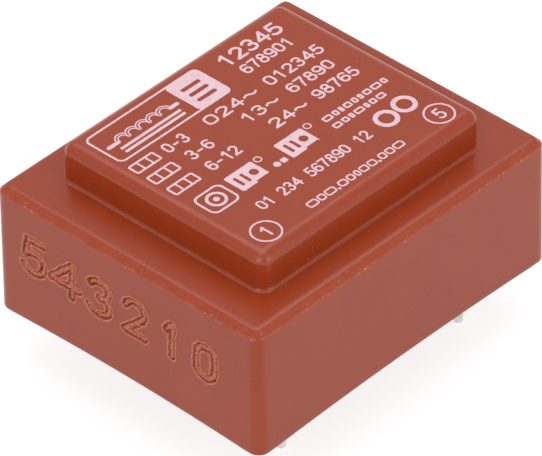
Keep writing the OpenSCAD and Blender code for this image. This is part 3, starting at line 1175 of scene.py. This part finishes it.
@dataclass
class PinRow:
    """The round tinned pins."""

    numbers: tuple[int, ...] = (1, 5, 6, 7, 9, 10)
    radius: float = 0.375
    root_radius: float = 0.55
    tip_round: float = 0.2

    def centre(self, pin: int) -> tuple[float, float, float, float]:
        """A pin's place and its lower and upper end, in millimetres."""
        low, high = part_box(f"pin_{pin}")
        return ((low[0] + high[0]) / 2 / MM, (low[1] + high[1]) / 2 / MM, low[2] / MM, high[2] / MM)

    def build(self, material: bpy.types.Material, face_z: float) -> None:
        """Makes every pin, whose thicker root starts at the resin's face."""
        for pin in self.numbers:
            x, y, bottom, top = self.centre(pin)
            tip = arc((self.radius - self.tip_round, bottom + self.tip_round), self.tip_round, -90, 0, 7)
            crisp, root, name = 0.02, self.root_radius, f"tinned_pin_{pin}"
            profile = [*tip, (self.radius, face_z - crisp), (self.radius, face_z)]
            profile += [(root - crisp, face_z), (root, face_z + crisp)]
            profile += [(root, top - crisp), (root - crisp, top)]
            piece = add_piece(name, lathe(name, (x, y), profile), material)
            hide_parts(f"pin_{pin}")


@dataclass
class ResinFace:
    """Where the cast resin climbs the wall and the pins as it sets."""

    wall_half: Point
    face_z: float
    corner: float = 0.4
    climb: float = 0.34
    spread: float = 0.75
    pin_climb: float = 0.30
    pin_spread: float = 0.5
    lap: float = 0.004
    corner_steps: int = 8

    def section(self, climb: float, spread: float, steps: int = 8) -> list[Point]:
        """The meniscus's section: (distance from the wall, height), from the wall's foot round."""
        angles = np.radians(np.linspace(90.0, 0.0, steps + 1))
        return [(spread * (1.0 - math.sin(a)), self.face_z - climb * (1.0 - math.cos(a)))
                for a in angles]

    def rim(self, material: bpy.types.Material) -> None:
        """The meniscus along the case's wall."""
        points = self.section(self.climb, self.spread)
        loop = [(max(distance, self.lap), z) for distance, z in points]
        loop.append((self.lap, self.face_z + self.lap))
        rows = []
        for distance, z in loop:
            half_x, half_y = self.wall_half[0] - distance, self.wall_half[1] - distance
            radius = max(self.corner - distance, 0.02)
            ring = np.vstack(corner_arcs(half_x, half_y, radius, self.corner_steps))
            rows.append(np.column_stack([ring, np.full(len(ring), z)]))
        places = np.vstack(rows)
        mesh = mesh_from("resin_rim", places, band_faces(len(rows), len(rows[0]), closed=True))
        add_piece("resin_rim", mesh, material)

    def collars(self, material: bpy.types.Material, pins: PinRow) -> None:
        """The small meniscus round each pin."""
        stations, hidden = 40, pins.radius - 0.05
        section = self.section(self.pin_climb, self.pin_spread, 7)
        profile = [(pins.radius + distance, z) for distance, z in section]
        rows = [(hidden, profile[0][1]), *profile, (hidden, self.face_z + self.lap)]
        for pin in pins.numbers:
            name = f"resin_collar_{pin}"
            faces = band_faces(len(rows), stations, closed=True)
            mesh = mesh_from(name, turned(pins.centre(pin)[:2], rows, stations), faces)
            add_piece(name, mesh, material)


# ---- inner pieces


def dress_nodes() -> None:
    """Gives each CAD node its finish, by the record's slot."""
    finishes = {
        Slot.CASE: MouldedPlastic(name="plain_case"),
        Slot.RESIN: CastResin(),
        Slot.FORMER: FormerPlastic(),
        Slot.CORE: SheetSteel(),
        Slot.COPPER: EnamelledWire(),
        Slot.TAPE: PolyesterTape(),
        Slot.PIN: TIN,
        Slot.SOLDER: FROZEN_SOLDER,
    }
    made = {slot.value: finish.material() for slot, finish in finishes.items()}
    slots = {row["node"]: row["material_slot"] for row in frame["record"]["subparts"]}
    for name, node in frame["nodes"].items():
        for holder in node.material_slots:
            holder.material = made[slots[name]]
    LOG.info("dressed %d nodes", len(slots))


# ---- studio


@dataclass
class Studio:
    """The floor, the lights and the camera."""

    floor_z: float
    eye: Place = (-302.20, -289.25, 340.12)
    aim: Place = (-0.762, -0.537, 5.843)
    roll: float = -1.103
    lens: float = 467.4
    sensor: float = 36.0
    sky: float = 0.90

    def floor(self) -> None:
        """Lays the table under the pins' tips."""
        half = 1500.0
        corners = ((-1, -1), (1, -1), (1, 1), (-1, 1))
        places = np.array([(sx * half, sy * half, self.floor_z) for sx, sy in corners])
        mesh = mesh_from("light_table", places, [(0, 1, 2, 3)])
        mesh.materials.append(LightTable().material())
        in_scene("light_table", mesh)

    def panel(self, name: str, place: Place, size: float, watts: float) -> None:
        """Hangs a soft square light that faces the part, with its place and size in metres."""
        light = bpy.data.lights.new(name, "AREA")
        light.size = size
        light.energy = watts
        lamp = in_scene(name, light)
        lamp.location = place
        lamp.rotation_euler = (-Vector(place)).to_track_quat("-Z", "Y").to_euler()

    def light(self) -> None:
        """Lights the part as in a white tent."""
        world = bpy.data.worlds.new("white_tent")
        world.use_nodes = True
        tent = world.node_tree.nodes["Background"]
        tent.inputs["Color"].default_value = (1.0, 1.0, 1.0, 1.0)
        tent.inputs["Strength"].default_value = self.sky
        bpy.context.scene.world = world
        self.panel("panel_above", (0.10, 0.15, 0.9), 0.9, 5.0)
        self.panel("panel_left", (-0.8, -0.15, 0.28), 0.6, 2.5)
        self.panel("panel_right", (0.15, -0.85, 0.28), 0.6, 2.5)

    def camera(self) -> None:
        """Sets up the long lens."""
        data = bpy.data.cameras.new("long_lens")
        data.lens = self.lens
        data.sensor_width = self.sensor
        data.sensor_fit = "HORIZONTAL"
        data.clip_end = 20.0
        camera = in_scene("long_lens", data)
        eye, aim = Vector(self.eye) * MM, Vector(self.aim) * MM
        level = (aim - eye).to_track_quat("-Z", "Y").to_matrix()
        rolled = level @ Matrix.Rotation(math.radians(self.roll), 3, "Z")
        camera.matrix_world = Matrix.Translation(eye) @ rolled.to_4x4()
        bpy.context.scene.camera = camera

    def build(self) -> None:
        """Sets the whole studio up."""
        self.camera()
        self.floor()
        self.light()
        bpy.context.scene.view_settings.view_transform = "Standard"


def main() -> None:
    """Builds and dresses every piece in order."""
    logging.basicConfig(level=logging.INFO, format="%(name)s: %(message)s")
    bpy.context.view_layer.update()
    floor_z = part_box("pin_1")[0][2] / MM
    Studio(floor_z).build()
    dress_nodes()
    case = CaseShell()
    case.build(MouldedPlastic().material())
    TopPrint(case.high.z, PadInk().material()).build()
    face_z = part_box("potting_resin")[0][2] / MM
    pins = PinRow()
    pins.build(TIN.material(), face_z)
    resin = CastResin(name="cast_resin_edge").material()
    face = ResinFace((case.high.x - case.wall, case.high.y - case.wall), face_z)
    face.rim(resin)
    face.collars(resin, pins)


if __name__ == "__main__":
    main()
